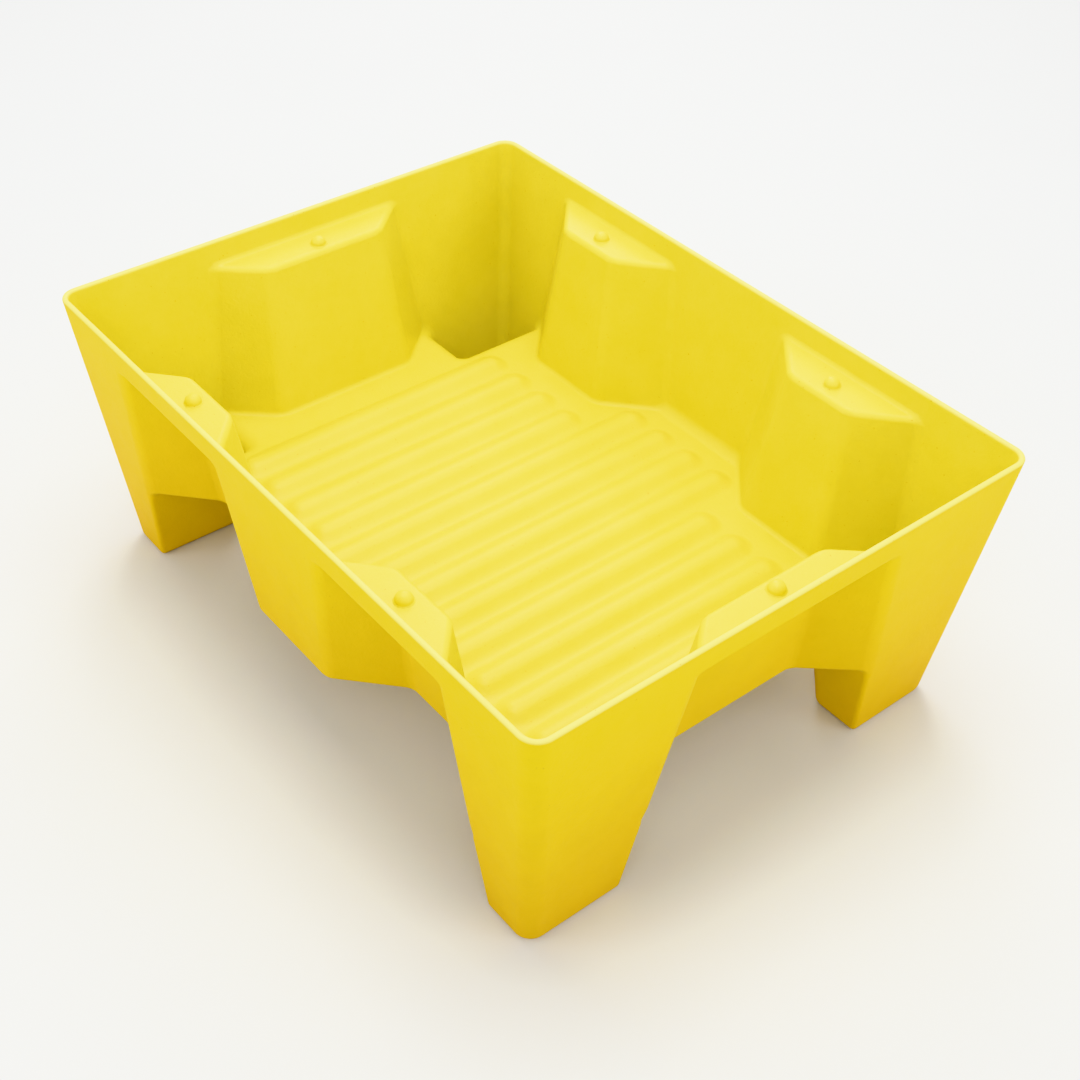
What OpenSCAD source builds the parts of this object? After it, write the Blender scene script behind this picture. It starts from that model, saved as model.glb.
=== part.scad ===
// Spill containment pallet: a one-piece rotomoulded tub on four hollow legs, divided into its regions.
// Origin at ground level under the middle of the tub; X along the length, Y along the width, Z up.

/* [Overall size] */
// Length over the rim
length = 800; // [700:10:1000]
// Width over the rim
width = 600; // [540:10:800]
// Height from the ground to the rim
height = 317; // [300:1:360]
// Length over the feet at the ground
foot_length = 730; // [650:10:900]
// Width over the feet at the ground
foot_width = 540; // [480:10:700]
// Wall thickness of the moulding
wall = 6; // [4:0.5:8]
// Outside corner radius at the rim
rim_corner_r = 20; // [16:1:32]
// Outside corner radius at the feet
foot_corner_r = 18; // [12:1:24]

/* [Sump and legs] */
// Height of the sump's underside above the ground
belly_z = 106; // [95:1:115]
// Height of the ceiling of the alcoves
alcove_top_z = 283; // [265:1:290]
// Distance from the middle to a foot's inner side, along the length
foot_inner_x = 306; // [290:1:320]
// Distance from the middle to a foot's inner side, along the width
foot_inner_y = 159; // [150:1:180]

/* [Side alcoves] */
// Middle of a side alcove at the belly
side_mid_low = 177.5; // [170:0.5:185]
// Middle of a side alcove at its ceiling
side_mid_high = 180.5; // [170:0.5:190]
// Half width of the mouth at the belly
side_mouth_low = 114.5; // [100:0.5:118]
// Half width of the mouth at the ceiling
side_mouth_high = 92.5; // [80:0.5:100]
// Half width of the back panel at the belly
side_back_low = 52.5; // [40:0.5:60]
// Half width of the back panel at the ceiling
side_back_high = 39.5; // [30:0.5:50]
// Depth at the belly
side_depth_low = 58; // [45:1:62]
// Depth at the ceiling
side_depth_high = 48; // [40:1:52]

/* [End alcoves] */
// Half width of the mouth at the belly
end_mouth_low = 146; // [130:1:150]
// Half width of the mouth at the ceiling
end_mouth_high = 121; // [110:1:130]
// Half width of the back panel at the belly
end_back_low = 87; // [70:1:95]
// Half width of the back panel at the ceiling
end_back_high = 72; // [60:1:80]
// Depth at the belly
end_depth_low = 51; // [40:1:56]
// Depth at the ceiling
end_depth_high = 43; // [36:1:50]

/* [Locating pips] */
// Radius of a pip
pip_r = 8.5; // [6:0.5:10]
// Height of a pip's straight side
pip_side = 3.5; // [2.5:0.5:5]
// Height of a pip's dome
pip_dome = 5.5; // [3:0.5:7]
// Distance of the side pips from the middle, along the length
side_pip_x = 180; // [175:1:186]
// Distance of the side pips from the middle, along the width
side_pip_y = 264.5; // [262:0.5:268]
// Distance of the end pips from the middle, along the length
end_pip_x = 364; // [360:1:368]

/* [Floor ribs] */
// Distance between neighbouring ribs
rib_pitch = 46.8; // [44:0.1:48]
// Width of a rib
rib_width = 33; // [28:1:35]
// Height of a rib above the sump floor
rib_height = 9; // [6:0.5:11]
// Half length of the four middle ribs, which run between the alcoves
long_rib_half = 242; // [220:1:246]
// Half length of the other ribs
short_rib_half = 181; // [170:1:190]

/* [Hidden] */
$fn = 64;
moulding_colour = "gold";
rib_count = 12;
corner_steps = 6;
// Overlap that lets a cut run past the faces that it goes through
past = 1;
// How far an alcove's cut reaches beyond the outer wall
reach = 20;
floor_z = belly_z + wall;
ledge_z = alcove_top_z + wall;
// Height at which the walls end and the rim begins
rim_base_z = ledge_z + 10;
// Margin of floor around a rib that belongs to it
rib_margin = 2.5;
// Places along the sides at which a ledge meets its neighbours, the inner one in line with a rib's plot
side_cut_inner = 1.5 * rib_pitch - rib_width / 2 - rib_margin;
side_cut_outer = 305;
end_cut = 160;
rib_r = (pow(rib_width / 2, 2) + pow(rib_height, 2)) / (2 * rib_height);
rib_axis_z = floor_z + rib_height - rib_r;

function mix(low, high, t) = low + (high - low) * t;
// Half length and half width of the outer skin at height z
function half_x(z) = mix(foot_length, length, z / height) / 2;
function half_y(z) = mix(foot_width, width, z / height) / 2;
function corner_r(z) = mix(foot_corner_r, rim_corner_r, z / height);
// Inner sides of a leg at height z, in line with the edges of the alcoves above
function leg_x(z) = mix(foot_inner_x, side_mid_low + side_mouth_low, z / belly_z);
function leg_y(z) = mix(foot_inner_y, end_mouth_low, z / belly_z);
// Share of the way up an alcove
function rise(z) = (z - belly_z) / (alcove_top_z - belly_z);

// Quarter circle about c, from angle a
function quarter(c, r, a) = [
    for (i = [0:corner_steps]) c + r * [cos(a + 90 * i / corner_steps), sin(a + 90 * i / corner_steps)]
];

// Outline of the tub at height z, moved inwards by inset
function tub_outline(z, inset) = let (
    r = corner_r(z) - inset,
    x = half_x(z) - inset - r,
    y = half_y(z) - inset - r
) concat(quarter([x, y], r, 0), quarter([-x, y], r, 90), quarter([-x, -y], r, 180), quarter([x, -y], r, 270));

// Outline of the leg at +X +Y at height z, moved inwards by inset
function leg_outline(z, inset) = let (
    r = corner_r(z) - inset,
    x = half_x(z) - inset,
    y = half_y(z) - inset
) concat(
    [[leg_x(z) + inset, leg_y(z) + inset], [x, leg_y(z) + inset]],
    quarter([x - r, y - r], r, 0),
    [[leg_x(z) + inset, y]]
);

// Outline of an alcove in a wall at distance w from the middle, grown by g on its three sides
function alcove_outline(w, mid, mouth, back, depth, g) = let (
    slope = (mouth - back) / depth,
    far = w + reach,
    near = w - depth - g,
    side = g * sqrt(1 + slope * slope),
    half_far = mouth + slope * reach + side,
    half_near = back - slope * g + side
) [[mid - half_near, near], [mid + half_near, near], [mid + half_far, far], [mid - half_far, far]];

function side_alcove_outline(z, g) = alcove_outline(
    half_y(z),
    mix(side_mid_low, side_mid_high, rise(z)),
    mix(side_mouth_low, side_mouth_high, rise(z)),
    mix(side_back_low, side_back_high, rise(z)),
    mix(side_depth_low, side_depth_high, rise(z)),
    g
);

function end_alcove_outline(z, g) = alcove_outline(
    half_x(z),
    0,
    mix(end_mouth_low, end_mouth_high, rise(z)),
    mix(end_back_low, end_back_high, rise(z)),
    mix(end_depth_low, end_depth_high, rise(z)),
    g
);

// Straight-sided solid between two outlines with the same number of points
module loft(low, high, z0, z1) {
    n = len(low);
    polyhedron(
        points = concat([for (p = low) [p.x, p.y, z0]], [for (p = high) [p.x, p.y, z1]]),
        faces = concat(
            [[for (i = [0:n - 1]) i], [for (i = [n - 1:-1:0]) i + n]],
            [for (i = [0:n - 1]) [i, i + n, (i + 1) % n + n, (i + 1) % n]]
        )
    );
}

module tub_form(z0, z1, inset) {
    loft(tub_outline(z0, inset), tub_outline(z1, inset), z0, z1);
}

module leg_form(z0, z1, inset) {
    loft(leg_outline(z0, inset), leg_outline(z1, inset), z0, z1);
}

// Alcove in the rear side wall at +X, from z0 up to z1
module side_alcove_form(z0, z1, g) {
    loft(side_alcove_outline(z0, g), side_alcove_outline(z1, g), z0, z1);
}

// Alcove in the end wall at +X
module end_alcove_form(z0, z1, g) {
    rotate([0, 0, -90])
        loft(end_alcove_outline(z0, g), end_alcove_outline(z1, g), z0, z1);
}

// Copies its child into the four corners, or to both sides
module at_side(x_sign, y_sign) {
    mirror([x_sign < 0 ? 1 : 0, 0, 0])
        mirror([0, y_sign < 0 ? 1 : 0, 0])
            children();
}

module in_each_corner() {
    for (x_sign = [-1, 1], y_sign = [-1, 1])
        at_side(x_sign, y_sign)
            children();
}

module at_each_end() {
    for (x_sign = [-1, 1])
        at_side(x_sign, 1)
            children();
}

// Plain tapered wall all round between two heights
module wall_ring(z0, z1) {
    difference() {
        tub_form(z0, z1, 0);
        tub_form(z0 - past, z1 + past, wall);
    }
}

// Upright block that picks one region out of the wall
module block(x0, x1, y0, y1, z0, z1) {
    translate([x0, y0, z0])
        cube([x1 - x0, y1 - y0, z1 - z0]);
}

function rib_x(i) = (i - (rib_count - 1) / 2) * rib_pitch;
function rib_half(i) = abs(rib_x(i)) < side_mid_low - side_mouth_low + rib_width / 2
    ? long_rib_half : short_rib_half;

// Stretch of the sump floor that a rib takes up
module rib_plot(i, z0, z1) {
    half = rib_width / 2 + rib_margin;
    block(rib_x(i) - half, rib_x(i) + half, -rib_half(i) - rib_margin, rib_half(i) + rib_margin, z0, z1);
}

// Round bar with ball ends, lying along Y under rib i
module rib_bar(i, r) {
    run = rib_half(i) - rib_width / 2;
    translate([rib_x(i), 0, rib_axis_z]) {
        rotate([90, 0, 0])
            cylinder(r = r, h = 2 * run, center = true);
        for (end = [-1, 1])
            translate([0, end * run, 0])
                sphere(r = r);
    }
}

// Floor plate of the sump, open over the four leg wells and where the ribs stand
module sump_floor() {
    color(moulding_colour)
        difference() {
            tub_form(belly_z, floor_z, 0);
            in_each_corner() side_alcove_form(belly_z - past, floor_z + past, 0);
            at_each_end() end_alcove_form(belly_z - past, floor_z + past, 0);
            in_each_corner() leg_form(belly_z - past, floor_z + past, wall);
            for (i = [0:rib_count - 1])
                rib_plot(i, belly_z - past, floor_z + past);
        }
}

// Raised rib, hollow beneath like the rest of the skin
module floor_rib(i) {
    color(moulding_colour)
        difference() {
            union() {
                rib_plot(i, belly_z, floor_z);
                intersection() {
                    rib_bar(i, rib_r);
                    rib_plot(i, floor_z - past, floor_z + rib_height + past);
                }
            }
            rib_bar(i, rib_r - wall);
        }
}

// Hollow leg with a closed flat foot, open to the sump at its top
module leg(x_sign, y_sign) {
    color(moulding_colour)
        at_side(x_sign, y_sign)
            difference() {
                leg_form(0, belly_z, 0);
                leg_form(wall, belly_z + past, wall);
            }
}

module corner_wall(x_sign, y_sign) {
    color(moulding_colour)
        at_side(x_sign, y_sign)
            intersection() {
                wall_ring(floor_z, rim_base_z);
                block(0, length, 0, width, 0, height);
                difference() {
                    block(0, length, 0, width, 0, height);
                    block(-past, side_cut_outer, 0, width + past, -past, height + past);
                    block(0, length + past, -past, end_cut, -past, height + past);
                }
            }
}

module centre_wall(y_sign) {
    color(moulding_colour)
        at_side(1, y_sign)
            intersection() {
                wall_ring(floor_z, rim_base_z);
                block(-side_cut_inner, side_cut_inner, 0, width, 0, height);
            }
}

// Wall between two cuts with an alcove pressed in from outside, which makes a ledge inside
module side_ledge(x_sign, y_sign) {
    color(moulding_colour)
        at_side(x_sign, y_sign)
            intersection() {
                difference() {
                    tub_form(floor_z, rim_base_z, 0);
                    side_alcove_form(floor_z - past, alcove_top_z, 0);
                    difference() {
                        tub_form(floor_z - past, rim_base_z + past, wall);
                        side_alcove_form(floor_z - 2 * past, ledge_z, wall);
                    }
                }
                block(side_cut_inner, side_cut_outer, 0, width, 0, height);
            }
}

module end_ledge(x_sign) {
    color(moulding_colour)
        at_side(x_sign, 1)
            intersection() {
                difference() {
                    tub_form(floor_z, rim_base_z, 0);
                    end_alcove_form(floor_z - past, alcove_top_z, 0);
                    difference() {
                        tub_form(floor_z - past, rim_base_z + past, wall);
                        end_alcove_form(floor_z - 2 * past, ledge_z, wall);
                    }
                }
                block(0, length, -end_cut, end_cut, 0, height);
            }
}

// Domed pip that keeps what stands on the ledges from sliding
module pip(x, y) {
    dome_r = (pip_r * pip_r + pip_dome * pip_dome) / (2 * pip_dome);
    color(moulding_colour)
        translate([x, y, ledge_z]) {
            cylinder(r = pip_r, h = pip_side);
            intersection() {
                translate([0, 0, pip_side + pip_dome - dome_r])
                    sphere(r = dome_r);
                translate([0, 0, pip_side])
                    cylinder(r = pip_r, h = pip_dome + past);
            }
        }
}

module rim() {
    color(moulding_colour)
        wall_ring(rim_base_z, height);
}

sump_floor();
floor_rib(0);  // floor_rib_01
floor_rib(1);  // floor_rib_02
floor_rib(2);  // floor_rib_03
floor_rib(3);  // floor_rib_04
floor_rib(4);  // floor_rib_05
floor_rib(5);  // floor_rib_06
floor_rib(6);  // floor_rib_07
floor_rib(7);  // floor_rib_08
floor_rib(8);  // floor_rib_09
floor_rib(9);  // floor_rib_10
floor_rib(10);  // floor_rib_11
floor_rib(11);  // floor_rib_12
leg(-1, -1);  // leg_front_left
leg(1, -1);  // leg_front_right
leg(-1, 1);  // leg_rear_left
leg(1, 1);  // leg_rear_right
corner_wall(-1, -1);  // corner_wall_front_left
corner_wall(1, -1);  // corner_wall_front_right
corner_wall(-1, 1);  // corner_wall_rear_left
corner_wall(1, 1);  // corner_wall_rear_right
centre_wall(-1);  // centre_wall_front
centre_wall(1);  // centre_wall_rear
side_ledge(-1, -1);  // ledge_front_left
side_ledge(1, -1);  // ledge_front_right
side_ledge(-1, 1);  // ledge_rear_left
side_ledge(1, 1);  // ledge_rear_right
end_ledge(-1);  // ledge_left_end
end_ledge(1);  // ledge_right_end
pip(-side_pip_x, -side_pip_y);  // pip_front_left
pip(side_pip_x, -side_pip_y);  // pip_front_right
pip(-side_pip_x, side_pip_y);  // pip_rear_left
pip(side_pip_x, side_pip_y);  // pip_rear_right
pip(-end_pip_x, 0);  // pip_left_end
pip(end_pip_x, 0);  // pip_right_end
rim();
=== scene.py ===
"""Looks of the spill containment pallet: one rotomoulded polyethylene skin with soft edges.

The skin is described by a distance field (negative inside the plastic). One quarter of it is meshed on
a grid, laid exactly on the surface, mirrored into the other three quarters, and divided into
closed pieces along the same cuts as the CAD model's nodes.
"""

import functools
import math

import bpy
import numpy as np
from mathutils import Matrix, Vector


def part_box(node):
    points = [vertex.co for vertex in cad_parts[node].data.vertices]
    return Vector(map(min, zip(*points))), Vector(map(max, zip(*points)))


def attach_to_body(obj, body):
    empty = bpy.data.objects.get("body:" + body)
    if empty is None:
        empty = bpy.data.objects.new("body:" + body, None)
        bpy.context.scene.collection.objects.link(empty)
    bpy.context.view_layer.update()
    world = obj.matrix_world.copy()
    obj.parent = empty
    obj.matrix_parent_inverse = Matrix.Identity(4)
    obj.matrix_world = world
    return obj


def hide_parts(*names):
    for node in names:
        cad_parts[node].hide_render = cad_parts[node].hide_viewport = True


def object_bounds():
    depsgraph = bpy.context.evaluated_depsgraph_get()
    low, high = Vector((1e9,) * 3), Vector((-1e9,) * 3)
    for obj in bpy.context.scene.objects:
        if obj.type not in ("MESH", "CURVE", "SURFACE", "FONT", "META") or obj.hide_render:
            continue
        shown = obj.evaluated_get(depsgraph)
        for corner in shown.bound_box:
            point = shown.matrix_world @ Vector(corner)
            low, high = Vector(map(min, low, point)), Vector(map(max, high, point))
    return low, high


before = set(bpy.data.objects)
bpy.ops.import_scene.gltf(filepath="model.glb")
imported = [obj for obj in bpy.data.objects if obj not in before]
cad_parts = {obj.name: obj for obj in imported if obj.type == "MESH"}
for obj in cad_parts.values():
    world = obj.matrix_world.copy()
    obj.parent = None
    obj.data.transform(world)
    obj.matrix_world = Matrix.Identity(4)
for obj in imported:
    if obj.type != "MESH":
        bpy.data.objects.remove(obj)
cad_low, cad_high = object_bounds()

# ---------------------------------------------------------------- sizes, in metres

MM = 0.001
HEIGHT = cad_high.z
RIM_HALF = (cad_high.x, cad_high.y)
FOOT_HALF = (365 * MM, 270 * MM)
FOOT_INNER = (306 * MM, 159 * MM)
WALL = 6 * MM
BELLY_Z = 106 * MM
FLOOR_Z = BELLY_Z + WALL
ALCOVE_TOP_Z = 283 * MM
LEDGE_Z = ALCOVE_TOP_Z + WALL

# Alcoves: place of the middle, half width of the mouth and of the back, and depth, each as
# (at the belly, at the ceiling)
SIDE_ALCOVE = {
    "mid": (177.5 * MM, 180.5 * MM),
    "mouth": (114.5 * MM, 92.5 * MM),
    "back": (52.5 * MM, 39.5 * MM),
    "depth": (58 * MM, 48 * MM),
}
END_ALCOVE = {
    "mid": (0.0, 0.0),
    "mouth": (146 * MM, 121 * MM),
    "back": (87 * MM, 72 * MM),
    "depth": (51 * MM, 43 * MM),
}

RIB_PITCH = 46.8 * MM
RIB_COUNT_PER_SIDE = 6
RIB_WIDTH = 33 * MM
RIB_HEIGHT = 9 * MM
RIB_R = ((RIB_WIDTH / 2) ** 2 + RIB_HEIGHT**2) / (2 * RIB_HEIGHT)
RIB_AXIS_Z = FLOOR_Z + RIB_HEIGHT - RIB_R
RIB_MARGIN = 2.5 * MM
LONG_RIB_HALF = 242 * MM
SHORT_RIB_HALF = 181 * MM
LONG_RIBS_PER_SIDE = 2

# Radii of the soft edges
RIM_CORNER_R = 20 * MM
FOOT_CORNER_R = 18 * MM
RIM_EDGE_R = 2.8 * MM
BELLY_EDGE_R = 5 * MM
FLOOR_FILLET_R = 13 * MM
LEG_EDGE_R = 13 * MM
WELL_EDGE_R = 8 * MM
BELLY_FILLET_R = 8 * MM
WELL_MOUTH_R = 18 * MM
SOLE_EDGE_R = 8 * MM
WELL_BOTTOM_R = 10 * MM
ALCOVE_INSIDE_R = 4 * MM
ALCOVE_MOUTH_R = 6 * MM
LEDGE_EDGE_R = 6 * MM
LEDGE_FILLET_R = 5 * MM
RIB_FILLET_R = 6 * MM
GROOVE_EDGE_R = 3 * MM

# Cuts between the pieces: two run just past the fillets, the rest are the CAD nodes' own
LEG_CUT_CLEARANCE = 6 * MM
PAN_CUT_CLEARANCE = 3 * MM
LEG_CUT_Z = BELLY_Z - BELLY_FILLET_R - LEG_CUT_CLEARANCE
PAN_CUT_Z = FLOOR_Z + FLOOR_FILLET_R + PAN_CUT_CLEARANCE
RIM_BASE_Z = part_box("rim")[0].z
CENTRE_CUT_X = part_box("centre_wall_rear")[1].x
SIDE_CUT_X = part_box("ledge_rear_right")[1].x
END_CUT_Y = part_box("ledge_right_end")[1].y

# Coarser while trying things
GRID_STEP = 2.3 * MM

# How the grid's points are laid on the surface, and how near two places count as the same
SETTLE_STEPS = 8
LEAST_STEEPNESS = 0.02
SAME_PLACE = 1e-6
WELD_DISTANCE = 0.01 * MM

# ---------------------------------------------------------------- the shape as a field


def mix(pair, t):
    return pair[0] + (pair[1] - pair[0]) * t


def half_x(z):
    return mix((FOOT_HALF[0], RIM_HALF[0]), z / HEIGHT)


def half_y(z):
    return mix((FOOT_HALF[1], RIM_HALF[1]), z / HEIGHT)


def round_and(r, *fields):
    """Inside every one of the fields, with the edges where they meet rounded to radius r."""
    corner = np.sqrt(sum(np.maximum(f + r, 0) ** 2 for f in fields))
    return np.minimum(functools.reduce(np.maximum, fields), -r) + corner


def round_or(r, *fields):
    """Inside any of the fields, with a fillet of radius r where they meet."""
    return -round_and(r, *[-f for f in fields])


def within_walls(x, y, z, inset):
    lean_x = math.hypot(1, (RIM_HALF[0] - FOOT_HALF[0]) / HEIGHT)
    lean_y = math.hypot(1, (RIM_HALF[1] - FOOT_HALF[1]) / HEIGHT)
    corner_r = mix((FOOT_CORNER_R, RIM_CORNER_R), z / HEIGHT) - inset
    return round_and(corner_r, (x - half_x(z)) / lean_x + inset, (y - half_y(z)) / lean_y + inset)


def within_leg_column(x, y, z, inset, r):
    """The corner of the plan beyond the inner faces of a leg."""
    t = z / BELLY_Z
    leg_x = mix((FOOT_INNER[0], SIDE_ALCOVE["mid"][0] + SIDE_ALCOVE["mouth"][0]), t)
    leg_y = mix((FOOT_INNER[1], END_ALCOVE["mouth"][0]), t)
    return round_and(r, leg_x - x + inset, leg_y - y + inset)


def within_alcove(along, across, z, wall_place, shape, grow, r):
    """Void of an alcove in a wall; along runs along the wall and across points out through it."""
    t = (z - BELLY_Z) / (ALCOVE_TOP_Z - BELLY_Z)
    depth = mix(shape["depth"], t)
    back = mix(shape["back"], t)
    slope = (mix(shape["mouth"], t) - back) / depth
    back_place = wall_place - depth
    half = back + (across - back_place) * slope
    cheek = (np.abs(along - mix(shape["mid"], t)) - half) / np.sqrt(1 + slope**2)
    return round_and(
        r,
        back_place - across - grow,
        cheek - grow,
        z - ALCOVE_TOP_Z - grow,
        BELLY_Z - BELLY_FILLET_R - grow - z,
    )


def within_alcoves(x, y, z, grow, r):
    side = within_alcove(x, y, z, half_y(z), SIDE_ALCOVE, grow, r)
    end = within_alcove(y, x, z, half_x(z), END_ALCOVE, grow, r)
    return np.minimum(side, end)


def within_rib(x, y, z, r):
    """Round bar with ball ends along the nearest rib."""
    number = np.clip(np.floor(x / RIB_PITCH), 0, RIB_COUNT_PER_SIDE - 1)
    run = np.where(number < LONG_RIBS_PER_SIDE, LONG_RIB_HALF, SHORT_RIB_HALF) - RIB_WIDTH / 2
    from_axis = x - (number + 0.5) * RIB_PITCH
    return np.sqrt(from_axis**2 + np.maximum(y - run, 0) ** 2 + (z - RIB_AXIS_Z) ** 2) - r


def body_field(x, y, z):
    """Distance to the outer faces, as if the moulding were solid up to its top."""
    above_belly = round_or(BELLY_FILLET_R, BELLY_Z - z, within_leg_column(x, y, z, 0, LEG_EDGE_R))
    body = round_and(BELLY_EDGE_R, within_walls(x, y, z, 0), above_belly)
    body = round_and(ALCOVE_MOUTH_R, body, -within_alcoves(x, y, z, 0, ALCOVE_INSIDE_R))
    body = round_and(GROOVE_EDGE_R, body, -within_rib(x, y, z, RIB_R - WALL))
    return round_and(SOLE_EDGE_R, body, -z)


def cavity_field(x, y, z):
    """Distance to the inner faces, negative in the space that they hold."""
    above_floor = round_or(WELL_MOUTH_R, FLOOR_Z - z, within_leg_column(x, y, z, WALL, WELL_EDGE_R))
    cavity = round_and(FLOOR_FILLET_R, within_walls(x, y, z, WALL), above_floor)
    cavity = round_and(LEDGE_FILLET_R, cavity, -within_alcoves(x, y, z, WALL, LEDGE_EDGE_R))
    cavity = round_and(RIB_FILLET_R, cavity, -within_rib(x, y, z, RIB_R))
    return round_and(WELL_BOTTOM_R, cavity, WALL - z)


def skin_field(x, y, z):
    """Distance to the moulding's skin, negative in the plastic."""
    x = np.abs(x)
    y = np.abs(y)
    walls = np.maximum(body_field(x, y, z), -cavity_field(x, y, z))
    return round_and(RIM_EDGE_R, walls, z - HEIGHT)


def inner_share(x, y, z):
    """0 on the outer faces, 1 on the inner faces, and between the two over the rim."""
    to_outer = np.abs(body_field(x, y, z))
    to_inner = np.abs(cavity_field(x, y, z))
    return to_outer / (to_outer + to_inner)


# ---------------------------------------------------------------- meshing one quarter


def rib_edges():
    half = RIB_WIDTH / 2 + RIB_MARGIN
    return [(i + 0.5) * RIB_PITCH + side * half for i in range(RIB_COUNT_PER_SIDE) for side in (-1, 1)]


def rib_end(x):
    """Half length of the plot of floor that belongs to the rib at x."""
    is_long = np.abs(x) < LONG_RIBS_PER_SIDE * RIB_PITCH
    return np.where(is_long, LONG_RIB_HALF, SHORT_RIB_HALF) + RIB_MARGIN


def spaced(stops):
    """Places about GRID_STEP apart that include every stop."""
    stops = sorted(set(round(s, 7) for s in stops))
    places = []
    for a, b in zip(stops, stops[1:]):
        count = max(1, round((b - a) / GRID_STEP))
        places.extend(a + (b - a) * i / count for i in range(count))
    return np.array(places + [stops[-1]])


def grid_centres():
    edge = 2 * GRID_STEP
    return [
        spaced([0, *rib_edges(), CENTRE_CUT_X, SIDE_CUT_X, RIM_HALF[0] + edge]),
        spaced([0, END_CUT_Y, SHORT_RIB_HALF + RIB_MARGIN, LONG_RIB_HALF + RIB_MARGIN, RIM_HALF[1] + edge]),
        spaced([-edge, LEG_CUT_Z, PAN_CUT_Z, RIM_BASE_Z, HEIGHT + edge]),
    ]


def cell_walls(centres):
    """Grid lines halfway between the cell centres."""
    middles = (centres[1:] + centres[:-1]) / 2
    return np.concatenate([[2 * centres[0] - middles[0]], middles, [2 * centres[-1] - middles[-1]]])


def net_quads(inside, index):
    """One quad across every grid edge that passes through the surface, facing outwards."""
    quads = []
    for axis in range(3):
        side = np.moveaxis(inside, axis, 0)
        cell = np.moveaxis(index, axis, 0)
        low = side[:-1, 1:-1, 1:-1]
        high = side[1:, 1:-1, 1:-1]
        i, j, k = np.nonzero(low != high)
        ring = np.stack([cell[i, j, k], cell[i, j + 1, k], cell[i, j + 1, k + 1], cell[i, j, k + 1]], 1)
        faces_low = low[i, j, k] == (axis == 1)
        ring[faces_low] = ring[faces_low][:, ::-1]
        quads.append(ring)
    return np.concatenate(quads)


def on_cuts(p):
    """Which coordinates of each point stay fixed, because the point lies on a cut."""
    x, y, z = p.T

    def at(values, place):
        return np.abs(values - place) < SAME_PLACE

    in_walls = (z > PAN_CUT_Z - SAME_PLACE) & (z < RIM_BASE_Z + SAME_PLACE)
    in_pan = (z > LEG_CUT_Z) & (z < PAN_CUT_Z - GRID_STEP)
    in_rib_run = in_pan & (y < rib_end(x) + SAME_PLACE)
    last_edge = rib_edges()[-1]
    fix_x = at(x, 0) | (in_walls & (at(x, CENTRE_CUT_X) | at(x, SIDE_CUT_X)))
    for edge in rib_edges():
        fix_x |= in_rib_run & at(x, edge)
    fix_y = at(y, 0) | (in_walls & at(y, END_CUT_Y) & (x > SIDE_CUT_X - SAME_PLACE))
    fix_y |= in_pan & at(y, rib_end(x)) & (x < last_edge + SAME_PLACE)
    fix_z = at(z, LEG_CUT_Z) | at(z, PAN_CUT_Z) | at(z, RIM_BASE_Z)
    return np.stack([fix_x, fix_y, fix_z], 1)


def slope_of_field(p):
    probe = 0.02 * MM
    columns = []
    for axis in range(3):
        step = np.zeros(3)
        step[axis] = probe
        columns.append((skin_field(*(p + step).T) - skin_field(*(p - step).T)) / (2 * probe))
    return np.stack(columns, 1)


def lay_on_surface(p):
    """Moves points onto the surface; a point on a cut stays on it."""
    fixed = on_cuts(p)
    for _ in range(SETTLE_STEPS):
        slope = slope_of_field(p)
        slope[fixed] = 0
        steepness = np.maximum((slope**2).sum(1), LEAST_STEEPNESS)
        step = slope * (skin_field(*p.T) / steepness)[:, None]
        length = np.sqrt((step**2).sum(1))[:, None]
        p = p - step * np.minimum(1, GRID_STEP / np.maximum(length, 1e-9))
    return p


def quarter_skin():
    """Quarter of the skin at +X +Y: each point's place, outward normal and inner share; and the quads."""
    centres = grid_centres()
    lines = [cell_walls(c) for c in centres]
    inside = skin_field(lines[0][:, None, None], lines[1][None, :, None], lines[2][None, None, :]) < 0
    corners = sum(
        inside[a : a + len(centres[0]), b : b + len(centres[1]), c : c + len(centres[2])].astype(np.int8)
        for a in (0, 1)
        for b in (0, 1)
        for c in (0, 1)
    )
    crossed = (corners > 0) & (corners < 8)
    index = np.full(crossed.shape, -1)
    index[crossed] = np.arange(crossed.sum())
    i, j, k = np.nonzero(crossed)
    points = lay_on_surface(np.stack([centres[0][i], centres[1][j], centres[2][k]], 1))
    normals = slope_of_field(points)
    normals /= np.sqrt((normals**2).sum(1))[:, None]
    skin = np.column_stack([points, normals, inner_share(*points.T)])
    return skin, net_quads(inside, index)


def weld(skin, quads):
    """Joins points that share a place and drops quads that this leaves with no area."""
    keys = np.round(skin[:, :3] / WELD_DISTANCE).astype(np.int64)
    _, first, same = np.unique(keys, axis=0, return_index=True, return_inverse=True)
    quads = same.reshape(-1)[quads]
    ordered = np.sort(quads, axis=1)
    distinct = 1 + (ordered[:, 1:] != ordered[:, :-1]).sum(1)
    return skin[first], quads[distinct > 2]


def whole_skin():
    """The quarter mirrored into all four."""
    quarter, quads = quarter_skin()
    skins = []
    all_quads = []
    for number, (sx, sy) in enumerate([(1, 1), (-1, 1), (1, -1), (-1, -1)]):
        copy = quads + len(quarter) * number
        skins.append(quarter * [sx, sy, 1, sx, sy, 1, 1])
        all_quads.append(copy if sx * sy > 0 else copy[:, ::-1])
    return weld(np.concatenate(skins), np.concatenate(all_quads))


# ---------------------------------------------------------------- pieces


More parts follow.
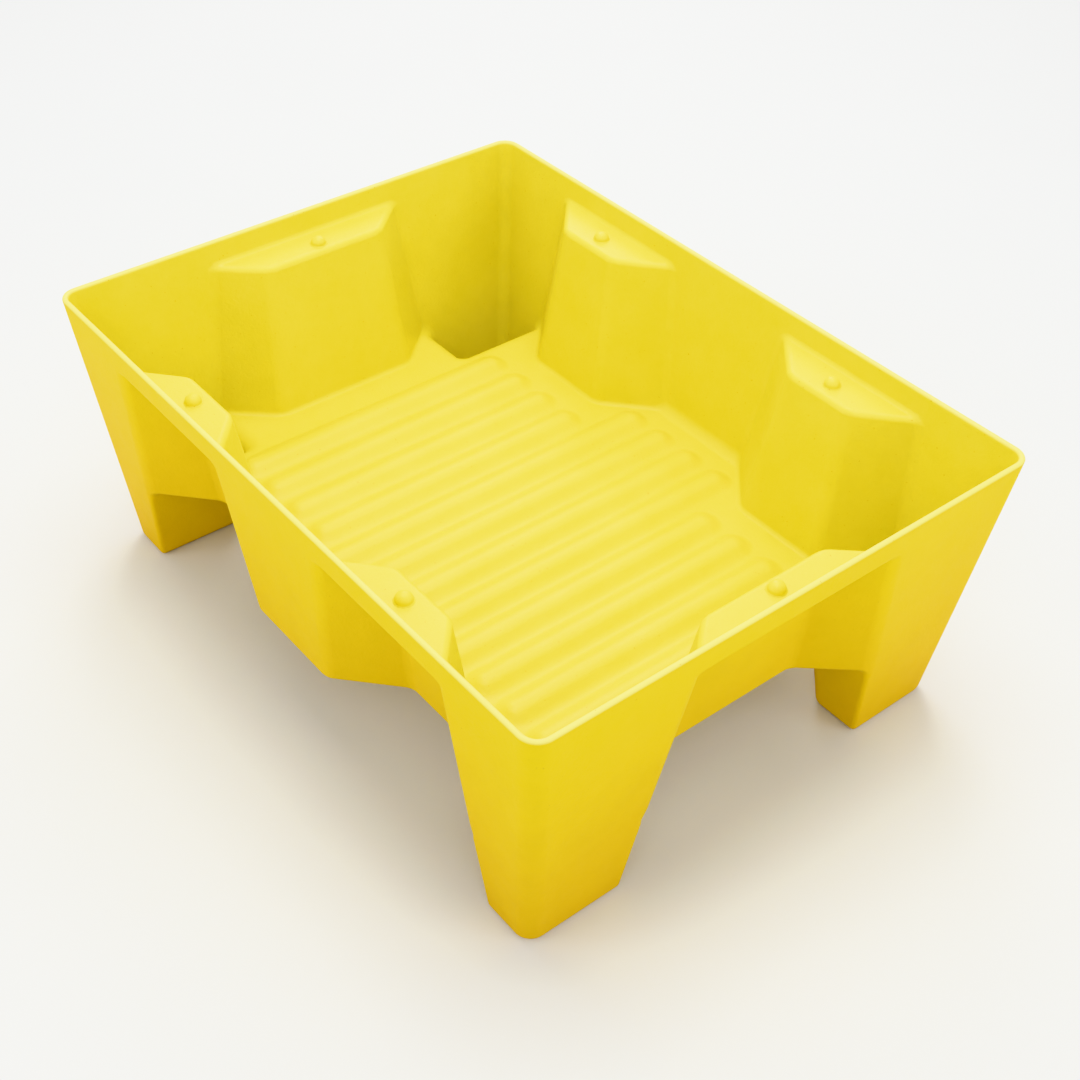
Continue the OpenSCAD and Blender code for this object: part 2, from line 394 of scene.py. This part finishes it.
def region_names(p):
    """Name of the CAD node that each point of the skin belongs to."""
    x, y, z = p.T
    side = np.where(y < 0, "front", "rear")
    hand = np.where(x < 0, "left", "right")
    corner = np.char.add(np.char.add(side, "_"), hand)
    number = np.floor(x / RIB_PITCH).astype(int)
    from_axis = np.abs(x - (number + 0.5) * RIB_PITCH)
    on_rib = from_axis < RIB_WIDTH / 2 + RIB_MARGIN
    on_rib &= (np.abs(number + 0.5) < RIB_COUNT_PER_SIDE) & (np.abs(y) < rib_end(x))
    rib = np.char.add("floor_rib_", np.char.zfill((number + RIB_COUNT_PER_SIDE + 1).astype(str), 2))
    wall = np.where(
        np.abs(x) < CENTRE_CUT_X,
        np.char.add("centre_wall_", side),
        np.where(
            np.abs(x) < SIDE_CUT_X,
            np.char.add("ledge_", corner),
            np.where(
                np.abs(y) < END_CUT_Y,
                np.char.add(np.char.add("ledge_", hand), "_end"),
                np.char.add("corner_wall_", corner),
            ),
        ),
    )
    pan = np.where(on_rib, rib, "sump_floor")
    names = np.where(z < PAN_CUT_Z, pan, wall)
    names = np.where(z < LEG_CUT_Z, np.char.add("leg_", corner), names)
    return np.where(z > RIM_BASE_Z, "rim", names)


def open_loops(quads):
    """Border loops of a patch of quads, each a list of points in the order that the quads run."""
    starts = quads.reshape(-1)
    ends = np.roll(quads, -1, axis=1).reshape(-1)
    keep = starts != ends
    edges = set(zip(starts[keep].tolist(), ends[keep].tolist()))
    follow = {a: b for a, b in edges if (b, a) not in edges}
    loops = []
    while follow:
        start, point = follow.popitem()
        loop = [start]
        while point != start:
            loop.append(point)
            point = follow.pop(point)
        loops.append(loop)
    return loops


def bridge(points, one, other):
    """Triangles that close the gap between two border loops, one on each face of the skin."""
    other = other[::-1]
    begin = int(np.argmin(((points[other] - points[one[0]]) ** 2).sum(1)))
    other = other[begin:] + other[:begin]
    one = one + one[:1]
    other = other + other[:1]
    triangles = []
    i = j = 0
    while i < len(one) - 1 or j < len(other) - 1:
        gap_one = np.inf
        gap_other = np.inf
        if i < len(one) - 1:
            gap_one = ((points[one[i + 1]] - points[other[j]]) ** 2).sum()
        if j < len(other) - 1:
            gap_other = ((points[one[i]] - points[other[j + 1]]) ** 2).sum()
        if gap_one <= gap_other:
            triangles.append((one[i + 1], one[i], other[j]))
            i += 1
        else:
            triangles.append((one[i], other[j], other[j + 1]))
            j += 1
    return triangles


def close_cuts(points, quads):
    """Triangles over the cut faces of a piece."""
    loops = open_loops(quads)
    middles = [points[loop].mean(0) for loop in loops]
    triangles = []
    while loops:
        loop = loops.pop()
        middle = middles.pop()
        nearest = min(range(len(loops)), key=lambda n: ((middles[n] - middle) ** 2).sum())
        middles.pop(nearest)
        triangles += bridge(points, loop, loops.pop(nearest))
    return triangles


def mark_inner_faces(mesh, shares):
    attribute = mesh.attributes.new("inner_face", "FLOAT", "POINT")
    attribute.data.foreach_set("value", shares)


def mesh_piece(name, skin, quads):
    """Closed mesh object of one region, smooth over the skin and flat over the cuts."""
    points = skin[:, :3]
    cuts = close_cuts(points, quads)
    used, local = np.unique(quads, return_inverse=True)
    local = local.reshape(quads.shape)
    lookup = {int(v): n for n, v in enumerate(used)}
    faces = local.tolist() + [[lookup[v] for v in t] for t in cuts]
    faces = [list(dict.fromkeys(f)) for f in faces]
    faces = [f for f in faces if len(f) > 2]
    mesh = bpy.data.meshes.new(name)
    mesh.from_pydata(points[used].tolist(), [], faces)
    mesh.validate()
    mesh.update()
    loop_vertex = np.zeros(len(mesh.loops), np.int32)
    mesh.loops.foreach_get("vertex_index", loop_vertex)
    loop_normals = skin[used, 3:6][loop_vertex]
    for polygon in mesh.polygons[-len(cuts):]:
        for loop in polygon.loop_indices:
            loop_normals[loop] = polygon.normal
    mesh.polygons.foreach_set("use_smooth", [True] * len(mesh.polygons))
    mesh.normals_split_custom_set(loop_normals.tolist())
    mark_inner_faces(mesh, skin[used, 6].astype(np.float32))
    piece = bpy.data.objects.new(name + "_skin", mesh)
    bpy.context.scene.collection.objects.link(piece)
    return piece


def attach(piece, node):
    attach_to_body(piece, "root")
    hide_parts(node)


def build_skin(material):
    skin, quads = whole_skin()
    names = region_names(skin[quads, :3].mean(1))
    for name in sorted(set(names.tolist())):
        piece = mesh_piece(name, skin, quads[names == name])
        piece.data.materials.append(material)
        attach(piece, name)


# ---------------------------------------------------------------- pips


def build_pip(node, material):
    """Soft dome turned about its axis, flared into the ledge at its foot."""
    low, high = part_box(node)
    centre = (low + high) / 2
    r = (high.x - low.x) / 2
    height = high.z - low.z
    foot = 1.4 * MM
    side_z = 2.0 * MM
    profile = [
        (r + foot * (1 - math.sin(a)), foot * (1 - math.cos(a)))
        for a in np.linspace(0, math.pi / 2, 5)
    ]
    profile += [
        (r * math.cos(a), side_z + (height - side_z) * math.sin(a))
        for a in np.linspace(0, math.pi / 2, 13)[:-1]
    ]
    turns = 48
    points = [
        (centre.x + d * math.cos(t), centre.y + d * math.sin(t), low.z + z)
        for d, z in profile
        for t in np.arange(turns) * 2 * math.pi / turns
    ]
    points.append((centre.x, centre.y, low.z + height))
    faces = [tuple(range(turns))[::-1]]
    for ring in range(len(profile) - 1):
        below = ring * turns
        above = below + turns
        for n in range(turns):
            m = (n + 1) % turns
            faces.append((below + n, below + m, above + m, above + n))
    last = (len(profile) - 1) * turns
    faces += [(last + n, last + (n + 1) % turns, len(points) - 1) for n in range(turns)]
    mesh = bpy.data.meshes.new(node)
    mesh.from_pydata(points, [], faces)
    mesh.update()
    mesh.polygons.foreach_set("use_smooth", [False] + [True] * (len(mesh.polygons) - 1))
    mesh.materials.append(material)
    mark_inner_faces(mesh, [1.0] * len(mesh.vertices))
    piece = bpy.data.objects.new(node + "_dome", mesh)
    bpy.context.scene.collection.objects.link(piece)
    attach(piece, node)


# ---------------------------------------------------------------- materials

# Painted shade: the outer colour turns darker and more golden from this height down to the feet.
FOOT_SHADE_UP_TO_Z = 300 * MM
# Painted highlight: the top of the rim is painted paler over this depth.
RIM_HIGHLIGHT_DEPTH = 3 * MM


def node_material(name):
    material = bpy.data.materials.new(name)
    material.use_nodes = True
    tree = material.node_tree
    return material, tree.nodes, tree.links, tree.nodes["Principled BSDF"]


def noise(nodes, links, place, scale, detail=2.0, rough=0.5):
    n = nodes.new("ShaderNodeTexNoise")
    n.inputs["Scale"].default_value = scale
    n.inputs["Detail"].default_value = detail
    n.inputs["Roughness"].default_value = rough
    links.new(place, n.inputs["Vector"])
    return n.outputs["Fac"]


def ramp(nodes, links, value, stops):
    r = nodes.new("ShaderNodeValToRGB")
    elements = r.color_ramp.elements
    while len(elements) < len(stops):
        elements.new(0.5)
    for element, (position, colour) in zip(elements, stops):
        element.position = position
        element.color = (*colour, 1)
    links.new(value, r.inputs["Fac"])
    return r.outputs["Color"]


def blend(nodes, links, factor, low, high):
    """Colour or value between low and high; each is a socket or a colour."""
    m = nodes.new("ShaderNodeMix")
    m.data_type = "RGBA"
    links.new(factor, m.inputs["Factor"])
    for side, wanted in (("A", low), ("B", high)):
        if isinstance(wanted, tuple):
            m.inputs[side].default_value = (*wanted, 1)
        else:
            links.new(wanted, m.inputs[side])
    return m.outputs["Result"]


def spread(nodes, links, value, low, high, start=0.0, end=1.0):
    """Value that goes from low to high as the input goes from start to end."""
    r = nodes.new("ShaderNodeMapRange")
    r.inputs["From Min"].default_value = start
    r.inputs["From Max"].default_value = end
    r.inputs["To Min"].default_value = low
    r.inputs["To Max"].default_value = high
    links.new(value, r.inputs["Value"])
    return r.outputs["Result"]


def polyethylene():
    """Yellow rotomoulded polyethylene with light and shade painted into its colour: paler and more lemon on
    the inner faces as painted light, duller and deeper golden on the outer faces as painted shade, darker
    and more golden towards the feet as painted shade, and paler on the rim as a painted highlight.
    """
    material, nodes, links, shader = node_material("yellow_polyethylene")
    place = nodes.new("ShaderNodeTexCoord").outputs["Object"]
    face_side = nodes.new("ShaderNodeAttribute")
    face_side.attribute_name = "inner_face"
    inner = face_side.outputs["Fac"]
    split = nodes.new("ShaderNodeSeparateXYZ")
    links.new(place, split.inputs["Vector"])

    mottle = noise(nodes, links, place, 14, 7, 0.68)
    # Painted shade: darker, more golden colour for the outer faces at the feet, fading out going up.
    foot_shade_colour = ramp(nodes, links, mottle, [(0.3, (0.67, 0.41, 0.002)), (0.7, (0.71, 0.45, 0.004))])
    # Painted light and shade: the outer faces get a duller, deeper golden colour standing in for their
    # shade, and the inner faces a paler, more lemon colour standing in for their brighter light and
    # highlights.
    outer_shaded_colour = ramp(nodes, links, mottle, [(0.3, (0.73, 0.56, 0.003)), (0.7, (0.77, 0.59, 0.006))])
    inside = ramp(nodes, links, mottle, [(0.3, (0.705, 0.605, 0.062)), (0.7, (0.745, 0.645, 0.084))])
    foot_shade_fade = spread(nodes, links, split.outputs["Z"], 0, 1, 0, FOOT_SHADE_UP_TO_Z)
    outer_shaded_colour = blend(nodes, links, foot_shade_fade, foot_shade_colour, outer_shaded_colour)
    colour = blend(nodes, links, inner, outer_shaded_colour, inside)
    # Painted highlight: a pale band along the top of the rim.
    rim_highlight_share = spread(nodes, links, split.outputs["Z"], 0, 1, HEIGHT - RIM_HIGHLIGHT_DEPTH, HEIGHT - 1 * MM)
    colour = blend(nodes, links, rim_highlight_share, colour, (0.79, 0.72, 0.20))
    grit = noise(nodes, links, place, 420, 1, 0.4)
    specks = ramp(nodes, links, grit, [(0.77, (0, 0, 0)), (0.80, (1, 1, 1))])
    colour = blend(nodes, links, specks, colour, (0.60, 0.42, 0.01))
    links.new(colour, shader.inputs["Base Color"])

    wear = spread(nodes, links, noise(nodes, links, place, 60, 3, 0.6), -0.06, 0.08)
    roughness = nodes.new("ShaderNodeMath")
    roughness.operation = "ADD"
    links.new(wear, roughness.inputs[0])
    links.new(spread(nodes, links, inner, 0.60, 0.40), roughness.inputs[1])
    links.new(roughness.outputs[0], shader.inputs["Roughness"])

    peel = noise(nodes, links, place, 260, 3, 0.55)
    grain = noise(nodes, links, place, 1400, 2, 0.5)
    height = nodes.new("ShaderNodeMath")
    height.operation = "MULTIPLY_ADD"
    links.new(grain, height.inputs[0])
    height.inputs[1].default_value = 0.35
    links.new(peel, height.inputs[2])
    bump = nodes.new("ShaderNodeBump")
    bump.inputs["Strength"].default_value = 0.5
    bump.inputs["Distance"].default_value = 0.0007
    links.new(height.outputs[0], bump.inputs["Height"])
    links.new(bump.outputs["Normal"], shader.inputs["Normal"])

    shader.inputs["IOR"].default_value = 1.5
    shader.inputs["Specular IOR Level"].default_value = 0.26
    return material


def floor_paper():
    material, nodes, links, shader = node_material("floor_paper")
    place = nodes.new("ShaderNodeTexCoord").outputs["Object"]
    tone = noise(nodes, links, place, 3, 2, 0.5)
    colour = ramp(nodes, links, tone, [(0.3, (0.72, 0.72, 0.715)), (0.7, (0.74, 0.74, 0.735))])
    links.new(colour, shader.inputs["Base Color"])
    shader.inputs["Roughness"].default_value = 0.9
    return material


# ---------------------------------------------------------------- stage, light and camera


def build_floor():
    mesh = bpy.data.meshes.new("studio_floor")
    reach = 30
    corners = [(-reach, -reach, 0), (reach, -reach, 0), (reach, reach, 0), (-reach, reach, 0)]
    mesh.from_pydata(corners, [], [(0, 1, 2, 3)])
    floor = bpy.data.objects.new("studio_floor", mesh)
    bpy.context.scene.collection.objects.link(floor)
    mesh.materials.append(floor_paper())


def area_light(name, place, target, size, power, colour=(1, 1, 1)):
    data = bpy.data.lights.new(name, "AREA")
    data.shape = "DISK"
    data.size = size
    data.energy = power
    data.color = colour
    light = bpy.data.objects.new(name, data)
    light.location = place
    light.rotation_euler = (Vector(target) - Vector(place)).to_track_quat("-Z", "Y").to_euler()
    bpy.context.scene.collection.objects.link(light)


def build_lights():
    world = bpy.data.worlds.new("studio")
    world.use_nodes = True
    background = world.node_tree.nodes["Background"]
    background.inputs["Color"].default_value = (1, 0.99, 0.985, 1)
    background.inputs["Strength"].default_value = 0.60
    bpy.context.scene.world = world
    bpy.context.scene.view_settings.view_transform = "Khronos PBR Neutral"
    area_light("key", (-0.2, 0.2, 2.6), (0, 0, 0.2), 1.8, 56, (0.97, 1, 1))
    area_light("window", (-1.9, 1.6, 2.0), (0, 0, 0.2), 1.6, 41)
    area_light("fill_front", (-0.7, -2.4, 1.1), (0, 0, 0.2), 1.8, 21)
    area_light("fill_right", (2.5, 0.9, 1.1), (0, 0, 0.2), 1.8, 22)
    area_light("fill_high", (1.7, -1.5, 2.2), (0, 0, 0.2), 1.6, 17)


def build_camera():
    """Camera given by azimuth, elevation and roll about the point that it looks at."""
    azimuth = math.radians(50.4229)
    elevation = math.radians(40.5855)
    roll = math.radians(1.5828)
    target = Vector((0.1331, -0.0879, 0.24))
    distance = 1.5131
    lens_in_widths = 1.48292
    back = Vector((
        math.sin(azimuth) * math.cos(elevation),
        -math.cos(azimuth) * math.cos(elevation),
        math.sin(elevation),
    ))
    right = (-back).cross(Vector((0, 0, 1))).normalized()
    up = right.cross(-back)
    x_axis = math.cos(roll) * right + math.sin(roll) * up
    y_axis = -math.sin(roll) * right + math.cos(roll) * up
    data = bpy.data.cameras.new("camera")
    data.sensor_width = 36
    data.lens = data.sensor_width * lens_in_widths
    data.shift_x = 0.0091
    data.shift_y = -0.0052
    data.clip_end = 100
    camera = bpy.data.objects.new("camera", data)
    rotation = Matrix((x_axis, y_axis, back)).transposed()
    camera.matrix_world = Matrix.Translation(target + back * distance) @ rotation.to_4x4()
    bpy.context.scene.collection.objects.link(camera)
    bpy.context.scene.camera = camera


moulding = polyethylene()
build_skin(moulding)
for pip_node in [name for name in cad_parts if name.startswith("pip_")]:
    build_pip(pip_node, moulding)
build_floor()
build_lights()
build_camera()
